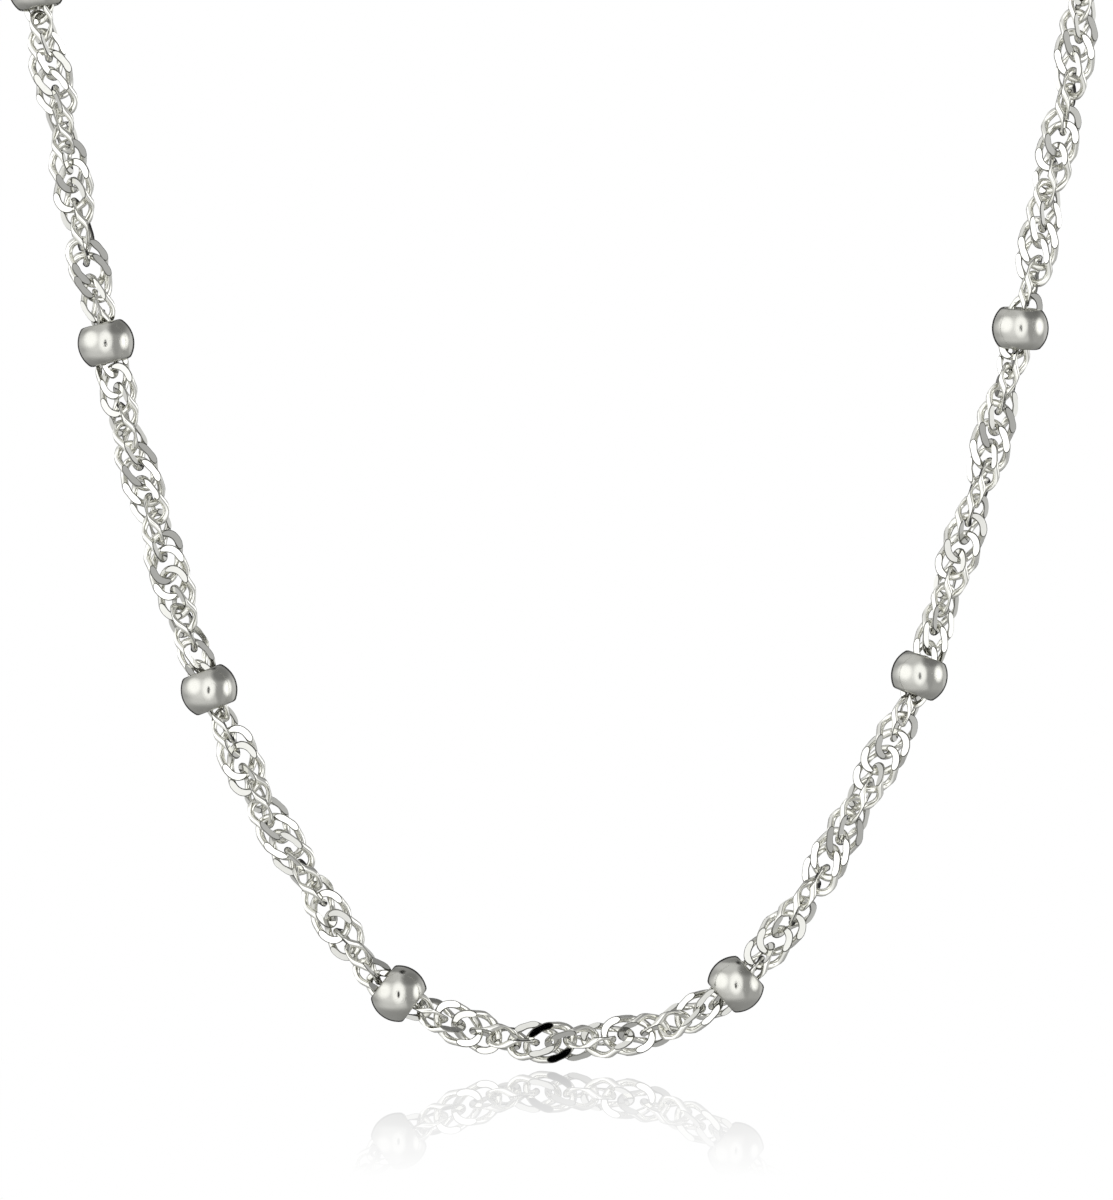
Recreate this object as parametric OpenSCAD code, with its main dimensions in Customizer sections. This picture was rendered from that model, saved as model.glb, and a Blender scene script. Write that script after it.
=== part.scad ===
// Twisted silver neck chain with hollow barrel beads along it and a spring ring clasp.
// The front hangs free under its own weight, the back lies round the neck.
// Origin: the middle of the neck, level with the chain at the back. Front is -Y, +Z is up.

/* [Loop] */
// Distance from one bead to the next, along the chain
bead_pitch = 19.05; // [17:0.05:21]
// Beads on each half of the loop
half_beads = 12; // [10:1:13]
// Radius of the curve at the lowest point of the hanging front
hang_r = 15.6; // [13:0.1:19]
// Radius of the bend over each side of the neck
turn_r = 18; // [14:0.5:24]
// How far the chain has slipped round the loop towards +X
slip = 0.4; // [-0.8:0.1:0.8]

/* [Chain] */
// Thickness of the chain where it runs through a bead, across corners
chain_d = 1.7; // [1.4:0.05:1.8]

/* [Beads] */
// Diameter of a bead at its middle
bead_d = 3; // [2.8:0.05:3.4]
// Length of a bead between its two cut ends
bead_l = 2.1; // [1.7:0.05:2.2]
// Wall of a hollow bead
bead_wall = 0.2; // [0.15:0.01:0.3]
// Free space all round the chain in the ends of a bead
bead_play = 0.1; // [0.08:0.01:0.14]
// How hard a bead pulls the hanging chain down, as a length of bare chain
bead_heft = 7.9; // [4:0.1:12]

/* [Clasp] */
// Diameter of the clasp's hoop, over its wire
hoop_d = 5.5; // [5:0.1:7]
// Thickness of the hoop
hoop_wire = 1.1; // [0.9:0.05:1.3]
// Diameter of the small eye on the hoop, over its wire
eye_d = 1.9; // [1.8:0.05:2.2]
// Thickness of the eye
eye_wire = 0.4; // [0.35:0.05:0.45]
// Diameter of the thumb knob that opens the hoop
knob_d = 0.6; // [0.5:0.05:0.8]
// How far the knob stands out of the hoop
knob_h = 0.7; // [0.5:0.05:0.9]

/* [Rings] */
// Diameter of the catch ring and the jump ring, over the wire
ring_d = 3.05; // [2.8:0.05:3.6]
// Thickness of both rings
ring_wire = 0.45; // [0.35:0.05:0.5]
// Free space between linked rings, and between a ring and the chain's end
link_gap = 0.15; // [0.1:0.01:0.2]

/* [Hidden] */
$fn = 48;

// Sides of the chain's outline, and the most that a straight stretch may cut off a bend
chain_sides = 8;
bend_cut = 0.25;
// Longest stretch between two sections, and the straight stretch through a bead
longest_step = 5 * chain_d;
seat_l = bead_l + chain_d / 3;

// Lengths along the loop, from the lowest point to the middle of the back
half_len = half_beads * bead_pitch;
quarter = 90 * PI / 180;
turn_len = quarter * turn_r;

// Beads: place of bead i along the chain, and how many hang below s
function bead_at(i) = (i + 0.5) * bead_pitch;
function beads_below(s) = floor(s / bead_pitch + 0.5);

// The hanging front: at s it carries this length of bare chain, and its sideways pull is hang_r
function load(s, n) = s + n * bead_heft;
function pull(s) = [hang_r, load(s, beads_below(s))];
// Distance out and height of a bare chain at load u
function bare(u) = [hang_r * ln((u + norm([u, hang_r])) / hang_r), norm([u, hang_r])];
// The same above the lowest point of the front, with n beads hanging below s
function hang(s, n) =
    n < 1 ? bare(s) - bare(0)
    : bare(load(s, n)) - bare(load(bead_at(n - 1), n)) + hang(bead_at(n - 1), n - 1);
function hang_x(s) = hang(s, beads_below(s))[0];
function hang_z(s) = hang(s, beads_below(s))[1];
function back_r(s) = hang_x(s) + turn_r * hang_r / norm(pull(s));

// Length of the hanging front on one side, found by closing the loop on its whole length
settle_rounds = 8;
function settle(s, n) = n < 1 ? s : settle(half_len - turn_len - quarter * back_r(s), n - 1);
drop_len = settle(half_len / 2, settle_rounds);
loop_r = back_r(drop_len);

// Where the front ends, and which way it points there
up = [pull(drop_len)[0], 0, pull(drop_len)[1]] / norm(pull(drop_len));
top = [hang_x(drop_len), -turn_r, -turn_r * up.z];
low_z = top.z - hang_z(drop_len);

function turn_a(s) = (s - drop_len) / turn_len * 90;
function back_a(s) = (s - drop_len - turn_len) / loop_r * 180 / PI;
function on_front(s) = s <= drop_len;
function on_turn(s) = s <= drop_len + turn_len;

// Point, direction and inward normal of the loop's +X half, s from the lowest point
function right_place(s) =
    on_front(s) ? [hang_x(s), -turn_r, low_z + hang_z(s)]
    : on_turn(s) ? top + turn_r * (sin(turn_a(s)) * up + [0, 1 - cos(turn_a(s)), 0])
    : loop_r * [cos(back_a(s)), sin(back_a(s)), 0];
function right_along(s) =
    on_front(s) ? [pull(s)[0], 0, pull(s)[1]] / norm(pull(s))
    : on_turn(s) ? cos(turn_a(s)) * up + [0, sin(turn_a(s)), 0]
    : [-sin(back_a(s)), cos(back_a(s)), 0];
function right_inward(s) =
    on_front(s) ? [-pull(s)[1], 0, pull(s)[0]] / norm(pull(s))
    : on_turn(s) ? [-up.z, 0, up.x]
    : [-cos(back_a(s)), -sin(back_a(s)), 0];

// The same for the whole loop: s runs below zero on the -X half
function flip(v) = [-v.x, v.y, v.z];
function place(s) = s < 0 ? flip(right_place(-s)) : right_place(s);
function along(s) = s < 0 ? -flip(right_along(-s)) : right_along(s);
function inward(s) = s < 0 ? flip(right_inward(-s)) : right_inward(s);
function bend_at(s) =
    on_front(s) ? pull(s) * pull(s) / hang_r
    : on_turn(s) ? turn_r : loop_r;

// Hole through a bead
bore_d = chain_d + 2 * bead_play;

// Clasp and rings, measured from the middle of the hoop along the chain
hoop_r = (hoop_d - hoop_wire) / 2;
eye_r = (eye_d - eye_wire) / 2;
ring_r = (ring_d - ring_wire) / 2;
catch_at = hoop_r - hoop_wire / 2 - link_gap - ring_wire / 2 + ring_r;
eye_at = hoop_d / 2 + eye_r - eye_wire / 2;
jump_at = eye_at + eye_r - eye_wire / 2 - link_gap - ring_wire / 2 + ring_r;
knob_turn = 60;
clasp_at = slip - half_len;
chain_end_right = half_len - catch_at - ring_d / 2 - link_gap;
chain_end_left = half_len - jump_at - ring_d / 2 - link_gap;

// Sections of one half of the chain: where they lie along it, from the middle outwards
function parts(a, b) = ceil((b - a) / min(longest_step, sqrt(8 * bend_cut * bend_at((a + b) / 2))));
function split(a, b) = [for (k = [1:parts(a, b)]) a + (b - a) * k / parts(a, b)];
function seat_start(i) = bead_at(i) - seat_l / 2;
function seat_end(i) = i < 0 ? 0 : bead_at(i) + seat_l / 2;
function sections(chain_end) = concat(
    [0],
    [for (i = [0:half_beads - 1]) each concat(split(seat_end(i - 1), seat_start(i)), [seat_end(i)])],
    split(seat_end(half_beads - 1), chain_end)
);

// One section: a regular outline round the chain, square to it
function section(s) = [
    for (k = [0:chain_sides - 1])
        let (turn = (k + 0.5) * 360 / chain_sides)
            place(s) + chain_d / 2 * (cos(turn) * inward(s) + sin(turn) * cross(along(s), inward(s)))
];

// A swept solid through the sections at the given places along the loop, in rising order
module sweep(stops) {
    n = chain_sides;
    last = (len(stops) - 1) * n;
    sides = [
        for (j = [0:len(stops) - 2], k = [0:n - 1])
            let (a = j * n + k, b = j * n + (k + 1) % n)
                each [[a, a + n, b], [b, a + n, b + n]]
    ];
    caps = [[for (k = [0:n - 1]) k], [for (k = [n - 1:-1:0]) last + k]];
    polyhedron(points = [for (s = stops) each section(s)], faces = concat(sides, caps));
}

module wire_ring(r, wire) {
    rotate_extrude() translate([r, 0]) circle(d = wire);
}

// Places children at s on the level back of the loop, X along the chain
module on_back(s) {
    translate(place(s)) rotate([0, 0, atan2(along(s).y, along(s).x)]) children();
}

module chain_right() {
    color("silver") sweep([for (c = sections(chain_end_right)) c + slip]);
}

module chain_left() {
    ends = sections(chain_end_left);
    color("silver") sweep([for (k = [len(ends) - 1:-1:0]) slip - ends[k]]);
}

// A hollow ball, cut flat at both ends and drilled for the chain
module barrel_bead() {
    color("gainsboro") intersection() {
        difference() {
            sphere(d = bead_d);
            sphere(d = bead_d - 2 * bead_wall);
            cylinder(h = 2 * bead_d, d = bore_d, center = true);
        }
        cylinder(h = bead_l, d = 2 * bead_d, center = true);
    }
}

// The bead at c along the chain sits on the straight stretch through it
module bead(c) {
    from = place(c + slip - seat_l / 2);
    to = place(c + slip + seat_l / 2);
    run = (to - from) / norm(to - from);
    translate((from + to) / 2) rotate([0, acos(run.z), atan2(run.y, run.x)]) barrel_bead();
}

// Spring ring: hoop, fixed eye and thumb knob, one solid
module clasp() {
    color("silver") on_back(clasp_at) rotate([90, 0, 0]) {
        wire_ring(hoop_r, hoop_wire);
        translate([eye_at, 0, 0]) wire_ring(eye_r, eye_wire);
        rotate([0, 0, knob_turn]) translate([hoop_r, 0, 0]) rotate([0, 90, 0])
            cylinder(h = hoop_wire / 2 + knob_h, d = knob_d);
    }
}

module catch_ring() {
    color("silver") on_back(clasp_at + 2 * half_len - catch_at) wire_ring(ring_r, ring_wire);
}

module jump_ring() {
    color("silver") on_back(clasp_at + jump_at) wire_ring(ring_r, ring_wire);
}

function bead_name(side, i) = str("bead_", side, "_", i < 9 ? "0" : "", i + 1);

chain_right();
chain_left();
clasp();
catch_ring();
jump_ring();
for (i = [0:half_beads - 1]) {
    bead(bead_at(i));
    bead(-bead_at(i));
}
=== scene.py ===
"""Dresses a twisted silver neck chain with hollow barrel beads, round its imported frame.

Interlocking filed links replace the chain's plain tubes, and finer shells replace the beads. Lengths
are in metres. The frame's origin is the middle of the neck, front is -Y and +Z is up.
"""

import logging
import math
from dataclasses import dataclass
from enum import Enum, IntEnum
from functools import cached_property

import bmesh
import bpy
import numpy as np
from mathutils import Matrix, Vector

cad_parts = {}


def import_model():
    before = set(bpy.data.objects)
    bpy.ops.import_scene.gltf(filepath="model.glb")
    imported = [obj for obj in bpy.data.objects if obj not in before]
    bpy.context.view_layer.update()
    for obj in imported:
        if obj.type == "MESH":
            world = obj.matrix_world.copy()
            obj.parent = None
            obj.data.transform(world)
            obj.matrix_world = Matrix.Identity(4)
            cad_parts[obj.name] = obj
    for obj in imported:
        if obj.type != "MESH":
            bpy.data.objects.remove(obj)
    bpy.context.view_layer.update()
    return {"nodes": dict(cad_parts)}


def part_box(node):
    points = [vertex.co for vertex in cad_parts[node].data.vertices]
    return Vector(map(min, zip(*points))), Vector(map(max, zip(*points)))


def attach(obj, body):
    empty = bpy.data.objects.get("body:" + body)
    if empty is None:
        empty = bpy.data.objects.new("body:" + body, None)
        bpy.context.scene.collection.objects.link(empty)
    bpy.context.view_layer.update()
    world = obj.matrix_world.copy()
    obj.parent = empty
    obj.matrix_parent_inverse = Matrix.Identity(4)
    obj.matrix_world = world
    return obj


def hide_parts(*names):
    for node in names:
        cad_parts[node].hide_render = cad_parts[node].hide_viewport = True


MM = 0.001
LOG = logging.getLogger("chain")
Triple = tuple[float, float, float]


class Slot(Enum):
    """Two material slot names of the record, for the chain and the beads; nothing here uses them."""

    CHAIN = "chain"
    BEADS = "beads"


class Look(IntEnum):
    """Material numbers of a link's faces, by the names of their finishes."""

    WIRE = 0
    CUT = 1
    EDGE = 2


@dataclass(frozen=True)
class Route:
    """Where the chain runs: a hanging front, a bend over each side of the neck and a round back.

    A place is given by its length s along the loop from the lowest point, above zero on the +X side.

    Attributes:
        bead_pitch: Distance from one bead to the next, along the chain.
        half_beads: Beads on each half of the loop.
        hang_r: Radius of the curve at the lowest point.
        turn_r: Radius of the bend over each side of the neck.
        slip: How far the chain has slipped round the loop towards +X.
        bead_heft: How hard a bead pulls the chain down, as a length of bare chain.
        settle_rounds: Rounds in which the loop is closed on its length.
        span_steps: Points over which the route is averaged under a thing that rides on it.
    """

    bead_pitch: float = 19.05 * MM
    half_beads: int = 12
    hang_r: float = 15.6 * MM
    turn_r: float = 18 * MM
    slip: float = 0.4 * MM
    bead_heft: float = 7.9 * MM
    settle_rounds: int = 8
    span_steps: int = 9

    @property
    def half_len(self) -> float:
        """Length of half the loop."""
        return self.half_beads * self.bead_pitch

    @property
    def turn_len(self) -> float:
        """Length of the bend over one side of the neck."""
        return math.pi / 2 * self.turn_r

    def bead_at(self, i: int) -> float:
        """Place of bead i along one half of the chain."""
        return (i + 0.5) * self.bead_pitch

    def bare(self, u: np.ndarray) -> np.ndarray:
        """Distance out and height of a bare hanging chain that carries the length u."""
        return np.stack([self.hang_r * np.arcsinh(u / self.hang_r), np.hypot(u, self.hang_r)], -1)

    def load(self, s: np.ndarray) -> np.ndarray:
        """Length of bare chain that weighs as much as all that hangs below s."""
        return s + np.floor(s / self.bead_pitch + 0.5) * self.bead_heft

    def hang(self, s: np.ndarray) -> np.ndarray:
        """Distance out and height above the lowest point of the hanging front.

        Args:
            s: Lengths from the lowest point, all above zero.

        Returns:
            One row of two numbers for each length.
        """
        out = self.bare(self.load(s)) - self.bare(np.zeros(1))
        for i in range(self.half_beads):
            under = np.array([self.bead_at(i) + i * self.bead_heft])
            kink = self.bare(under + self.bead_heft) - self.bare(under)
            out = out - np.where((s >= self.bead_at(i))[:, None], kink, 0.0)
        return out

    def slope(self, s: np.ndarray) -> np.ndarray:
        """Direction of the hanging front as two numbers, out and up."""
        load = self.load(s)
        return np.stack([np.full_like(load, self.hang_r), load], -1) / np.hypot(load, self.hang_r)[:, None]

    def back_r(self, s: float) -> float:
        """Radius of the round back when the front is s long on each side."""
        at = np.array([s])
        return float(self.hang(at)[0, 0] + self.turn_r * self.slope(at)[0, 0])

    @cached_property
    def front_len(self) -> float:
        """Length of the hanging front on one side, found by closing the loop on its whole length.

        Returns:
            The length from the lowest point to where the bend over the neck starts.
        """
        s = self.half_len / 2
        for _ in range(self.settle_rounds):
            s = self.half_len - self.turn_len - math.pi / 2 * self.back_r(s)
        return s

    @cached_property
    def loop_r(self) -> float:
        """Radius of the round back."""
        return self.back_r(self.front_len)

    @cached_property
    def low_z(self) -> float:
        """Height of the lowest point of the chain's middle line."""
        front = np.array([self.front_len])
        return float(-self.turn_r * self.slope(front)[0, 1] - self.hang(front)[0, 1])

    def _round(self, a: np.ndarray) -> np.ndarray:
        """Angle round the back at the lengths a, zero before the back starts."""
        return np.maximum(a - self.front_len - self.turn_len, 0) / self.loop_r

    def _joined(self, s: np.ndarray, front: np.ndarray, bend: np.ndarray, back: np.ndarray) -> np.ndarray:
        """Takes each row from the stretch in which its place lies, and mirrors those of the -X side.

        Args:
            s: Lengths from the lowest point, below zero on the -X side.
            front: Rows for the hanging front.
            bend: Rows for the bend over the side of the neck.
            back: Rows for the round back.

        Returns:
            One row for each length.
        """
        a, front_len = np.abs(s), self.front_len
        on_front, on_turn = (a <= front_len)[:, None], (a <= front_len + self.turn_len)[:, None]
        rows = np.where(on_front, front, np.where(on_turn, bend, back))
        rows[:, 0] *= np.where(s < 0, -1.0, 1.0)
        return rows

    def place(self, s: np.ndarray) -> np.ndarray:
        """Points of the loop.

        Args:
            s: Lengths from the lowest point, below zero on the -X side.

        Returns:
            One point for each length.
        """
        a, front_len = np.abs(s), self.front_len
        top, up = self.hang(np.array([front_len]))[0], self.slope(np.array([front_len]))[0]
        low = self.hang(np.minimum(a, front_len))
        front = np.stack([low[:, 0], np.full_like(a, -self.turn_r), self.low_z + low[:, 1]], -1)
        turn = np.clip(a - front_len, 0, self.turn_len) / self.turn_r
        rise = self.turn_r * np.sin(turn)
        bend = np.stack([top[0] + rise * up[0], -self.turn_r * np.cos(turn),
                         (rise - self.turn_r) * up[1]], -1)
        angle = self._round(a)
        back = self.loop_r * np.stack([np.cos(angle), np.sin(angle), np.zeros_like(a)], -1)
        return self._joined(s, front, bend, back)

    def inward(self, s: np.ndarray) -> np.ndarray:
        """Directions square to the loop: into the U in front, towards the neck's middle behind.

        Args:
            s: Lengths from the lowest point, below zero on the -X side.

        Returns:
            One unit vector for each length, before it is squared to the chain's own direction.
        """
        a, front_len = np.abs(s), self.front_len
        slope, up = self.slope(np.minimum(a, front_len)), self.slope(np.array([front_len]))[0]
        front = np.stack([-slope[:, 1], np.zeros_like(a), slope[:, 0]], -1)
        bend = np.broadcast_to(np.array([-up[1], 0, up[0]]), front.shape)
        angle = self._round(a)
        back = np.stack([-np.cos(angle), -np.sin(angle), np.zeros_like(a)], -1)
        return self._joined(s, front, bend, back)

    def stations(self, s: np.ndarray, reach: float) -> tuple[np.ndarray, np.ndarray]:
        """Places and turned axes of things that ride on the loop and each span a short stretch of it.

        Args:
            s: Lengths from the lowest point.
            reach: Half the stretch that one thing spans, over which the route is averaged.

        Returns:
            Points, and for each a 3 by 3 matrix with the columns along, inward and outward.
        """
        offsets = np.linspace(-reach, reach, self.span_steps)
        spans = np.stack([self.place(s + o) for o in offsets])
        points = spans.mean(0)
        along = spans[-1] - spans[0]
        along /= np.linalg.norm(along, axis=1)[:, None]
        n = self.inward(s)
        n -= (n * along).sum(1)[:, None] * along
        n /= np.linalg.norm(n, axis=1)[:, None]
        return points, np.stack([along, n, np.cross(along, n)], -1)


def math_node(tree: bpy.types.NodeTree, how: str, *values: bpy.types.NodeSocket | float,
              clamp: bool = False) -> bpy.types.NodeSocket:
    """One operation on values.

    Args:
        tree: Node tree to add to.
        how: Name of the operation.
        values: What it works on, each a socket or a number.
        clamp: Whether the result is kept between 0 and 1.

    Returns:
        The result.
    """
    node = tree.nodes.new("ShaderNodeMath")
    node.operation = how
    node.use_clamp = clamp
    for entry, value in zip(node.inputs, values):
        if isinstance(value, bpy.types.NodeSocket):
            tree.links.new(value, entry)
        else:
            entry.default_value = value
    return node.outputs[0]


def noise_node(tree: bpy.types.NodeTree, vector: bpy.types.NodeSocket, detail: float, rough: float,
               scale: float = 1.0) -> bpy.types.NodeSocket:
    """A noise texture on the given coordinates.

    Args:
        tree: Node tree to add to.
        vector: Coordinates that the noise follows.
        detail: Octaves.
        rough: Share that each octave adds.
        scale: Noise cells per unit.

    Returns:
        The noise, from 0 to 1.
    """
    node = tree.nodes.new("ShaderNodeTexNoise")
    node.inputs["Scale"].default_value = scale
    node.inputs["Detail"].default_value = detail
    node.inputs["Roughness"].default_value = rough
    tree.links.new(vector, node.inputs["Vector"])
    return node.outputs["Fac"]


def stretch_node(tree: bpy.types.NodeTree, vector: bpy.types.NodeSocket,
                 scale: Triple) -> bpy.types.NodeSocket:
    """Coordinates stretched along their axes.

    Args:
        tree: Node tree to add to.
        vector: Coordinates to stretch.
        scale: Factor for each axis.

    Returns:
        The stretched coordinates.
    """
    node = tree.nodes.new("ShaderNodeMapping")
    node.inputs["Scale"].default_value = scale
    tree.links.new(vector, node.inputs["Vector"])
    return node.outputs["Vector"]


def range_node(tree: bpy.types.NodeTree, value: bpy.types.NodeSocket, low: float, high: float,
               to_low: float, to_high: float, how: str = "SMOOTHSTEP") -> bpy.types.NodeSocket:
    """A clamped map of one range onto another.

    Args:
        tree: Node tree to add to.
        value: Value to map.
        low: Lower end of the range read.
        high: Upper end of the range read.
        to_low: What the lower end becomes.
        to_high: What the upper end becomes.
        how: Name of the way between the ends.

    Returns:
        The mapped value.
    """
    node = tree.nodes.new("ShaderNodeMapRange")
    node.interpolation_type = how
    for name, number in (("From Min", low), ("From Max", high), ("To Min", to_low), ("To Max", to_high)):
        node.inputs[name].default_value = number
    tree.links.new(value, node.inputs["Value"])
    return node.outputs["Result"]


@dataclass
class Effects:
    """Shader node groups that the finishes share, each built once.

    Patterns are sized in cells of the finish's own coordinates, whose X lies along the metal's grain.

    Attributes:
        fine_lines: Cells of the lines that a drawplate or file leaves.
        rough_patches: Cells of the patches in which the metal is rougher.
        patch_edge: Values of the noise between which such a patch fades in.
        clouds: Cells of the tarnished patches, which the painted shade follows as well.
        cloud_edge: Values of the noise between which a cloud fades in.
        thin_tarnish_and_shade: How much tarnishing and painted shade there is between the clouds.
        clean: Tint of the metal with neither tarnishing nor painted shade.
        tarnished_and_shaded: Tint of the metal under full tarnishing and painted shade, a dark grey.
        scratches: Cells of the hair scratches, for each direction that they take.
        scratch_edge: Values of the noise between which a scratch fades in.
    """

    fine_lines: Triple = (1.2, 16.0, 16.0)
    rough_patches: Triple = (0.7, 4.0, 4.0)
    patch_edge: tuple[float, float] = (0.35, 0.65)
    clouds: float = 1.6
    cloud_edge: tuple[float, float] = (0.3, 0.7)
    thin_tarnish_and_shade: float = 0.25
    clean: Triple = (0.98, 0.98, 0.96)
    tarnished_and_shaded: Triple = (0.41, 0.405, 0.36)
    scratches: tuple[Triple, ...] = ((9.0, 0.8, 1.5), (1.1, 8.0, 0.9), (0.9, 1.3, 10.0))
    scratch_edge: tuple[float, float] = (0.66, 0.70)

    def __post_init__(self) -> None:
        """Builds all groups."""
        self.streaks = self._streaks()
        self.tarnish_and_shade = self._tarnish_and_shade()
        self.wear = self._wear()

    @staticmethod
    def _group(name: str, inputs: dict[str, float],
               outputs: dict[str, str]) -> tuple[bpy.types.NodeTree, bpy.types.Node, bpy.types.Node]:
        """A group with the input Vector and further named sockets, still empty.

        Args:
            name: Name of the group.
            inputs: Starting value of each further input.
            outputs: Socket type of each output.

        Returns:
            The group with its input and output nodes.
        """
        tree = bpy.data.node_groups.new(name, "ShaderNodeTree")
        tree.interface.new_socket("Vector", in_out="INPUT", socket_type="NodeSocketVector")
        for label, value in inputs.items():
            socket = tree.interface.new_socket(label, in_out="INPUT", socket_type="NodeSocketFloat")
            socket.default_value = value
        for label, kind in outputs.items():
            tree.interface.new_socket(label, in_out="OUTPUT", socket_type=kind)
        return tree, tree.nodes.new("NodeGroupInput"), tree.nodes.new("NodeGroupOutput")

    def _streaks(self) -> bpy.types.NodeTree:
        """Fine lines that a drawplate or file leaves along the grain, in patches.

        Returns:
            The group, with the inputs Vector and Amount and the outputs Height and Mask.
        """
        tree, start, end = self._group(
            "streaks", {"Amount": 1.0}, {"Height": "NodeSocketFloat", "Mask": "NodeSocketFloat"})
        vector = start.outputs["Vector"]
        fine = noise_node(tree, stretch_node(tree, vector, self.fine_lines), detail=3.0, rough=0.6)
        patches = noise_node(tree, stretch_node(tree, vector, self.rough_patches), detail=1.0, rough=0.5)
        height = math_node(tree, "MULTIPLY", fine, start.outputs["Amount"])
        tree.links.new(height, end.inputs["Height"])
        tree.links.new(range_node(tree, patches, *self.patch_edge, 0.0, 1.0), end.inputs["Mask"])
        return tree

    def _tarnish_and_shade(self) -> bpy.types.NodeTree:
        """Patchy tarnishing together with painted shade: a grey tint that deepens where a point is hidden.

        Returns:
            The group, with the inputs Vector, Depth and Amount and the outputs TarnishAndShade and Tint.
        """
        tree, start, end = self._group(
            "tarnish_and_shade", {"Depth": 0.0, "Amount": 1.0},
            {"TarnishAndShade": "NodeSocketFloat", "Tint": "NodeSocketColor"})
        cloud = noise_node(tree, start.outputs["Vector"], detail=4.0, rough=0.55, scale=self.clouds)
        patchy = range_node(tree, cloud, *self.cloud_edge, self.thin_tarnish_and_shade, 1.0)
        # Painted shade: the patchy tarnishing is scaled by how hidden the point is, so hidden parts come
        # out darker.
        shaded_patches = math_node(tree, "MULTIPLY", patchy, start.outputs["Depth"])
        tarnish_and_shade_level = math_node(tree, "MULTIPLY", shaded_patches, start.outputs["Amount"], clamp=True)
        tint = tree.nodes.new("ShaderNodeValToRGB")
        tint.color_ramp.elements[0].color = (*self.clean, 1)
        tint.color_ramp.elements[1].color = (*self.tarnished_and_shaded, 1)
        tree.links.new(tarnish_and_shade_level, tint.inputs["Fac"])
        tree.links.new(tarnish_and_shade_level, end.inputs["TarnishAndShade"])
        tree.links.new(tint.outputs["Color"], end.inputs["Tint"])
        return tree

    def _wear(self) -> bpy.types.NodeTree:
        """Hair scratches and small dents from wear, in every direction.

        Returns:
            The group, with the inputs Vector and Amount and the output Height.
        """
        tree, start, end = self._group("wear", {"Amount": 1.0}, {"Height": "NodeSocketFloat"})
        marks = []
        for cells in self.scratches:
            vector = stretch_node(tree, start.outputs["Vector"], cells)
            line = noise_node(tree, vector, detail=2.0, rough=0.5)
            marks.append(range_node(tree, line, *self.scratch_edge, 0.0, 1.0))
        deepest = marks[0]
        for mark in marks[1:]:
            deepest = math_node(tree, "MAXIMUM", deepest, mark)
        height = math_node(tree, "MULTIPLY", deepest, start.outputs["Amount"])
        tree.links.new(height, end.inputs["Height"])
        return tree


@dataclass(frozen=True)
class Silver:
    """A silver finish.

    Attributes:
        name: Name of the material.
        color: Clean metal's colour.
        rough: Lowest and highest roughness.
        streak: Height of the drawing or filing lines, in metres.
        wear: Height of the hair scratches, in metres.
        tarnish_and_shade: How strong the tarnishing and the painted shade in hidden parts are.
        grain: Size of the pattern, in cells per millimetre.
        tarnish_and_shade_rough: How much rougher the metal is under full tarnishing and painted shade.
    """

    name: str
    color: Triple
    rough: tuple[float, float]
    streak: float
    wear: float
    tarnish_and_shade: float
    grain: float
    tarnish_and_shade_rough: float = 0.15

    def material(self, effects: Effects) -> bpy.types.Material:
        """Builds the node material.

        Args:
            effects: The shared node groups.

        Returns:
            The material, which reads the mesh attributes grain and depth.
        """
        mat = bpy.data.materials.new(self.name)
        mat.use_nodes = True
        mat.diffuse_color = (*self.color, 1)
        tree = mat.node_tree
        bsdf = tree.nodes["Principled BSDF"]
        bsdf.inputs["Metallic"].default_value = 1.0
        grain = tree.nodes.new("ShaderNodeAttribute")
        grain.attribute_name = "grain"
        depth = tree.nodes.new("ShaderNodeAttribute")
        depth.attribute_name = "depth"
        cells = self.grain / MM
        vector = stretch_node(tree, grain.outputs["Vector"], (cells, cells, cells))
        groups = {}
        for label, group, amount in (("streaks", effects.streaks, 1.0), ("wear", effects.wear, 1.0),
                                     ("tarnish_and_shade", effects.tarnish_and_shade, self.tarnish_and_shade)):
            node = tree.nodes.new("ShaderNodeGroup")
            node.node_tree = group
            node.inputs["Amount"].default_value = amount
            tree.links.new(vector, node.inputs["Vector"])
            groups[label] = node
        tree.links.new(depth.outputs["Fac"], groups["tarnish_and_shade"].inputs["Depth"])
        # The base colour is darkened by the tarnishing and by painted shade where the point is hidden.
        tinted = tree.nodes.new("ShaderNodeMix")
        tinted.data_type = "RGBA"
        tinted.blend_type = "MULTIPLY"
        tinted.inputs["Factor"].default_value = 1.0
        tinted.inputs["A"].default_value = (*self.color, 1)
        tree.links.new(groups["tarnish_and_shade"].outputs["Tint"], tinted.inputs["B"])
        tree.links.new(tinted.outputs["Result"], bsdf.inputs["Base Color"])
        rough = range_node(tree, groups["streaks"].outputs["Mask"], 0.0, 1.0, *self.rough)
        tarnish_and_shade_level = groups["tarnish_and_shade"].outputs["TarnishAndShade"]
        dulled = math_node(tree, "MULTIPLY_ADD", tarnish_and_shade_level, self.tarnish_and_shade_rough, rough)
        tree.links.new(dulled, bsdf.inputs["Roughness"])
        normal = None
        for label, height in (("streaks", self.streak), ("wear", self.wear)):
            bump = tree.nodes.new("ShaderNodeBump")
            bump.inputs["Strength"].default_value = 1.0
            bump.inputs["Distance"].default_value = height
            tree.links.new(groups[label].outputs["Height"], bump.inputs["Height"])
            if normal is not None:
                tree.links.new(normal, bump.inputs["Normal"])
            normal = bump.outputs["Normal"]
        tree.links.new(normal, bsdf.inputs["Normal"])
        return mat


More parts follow.
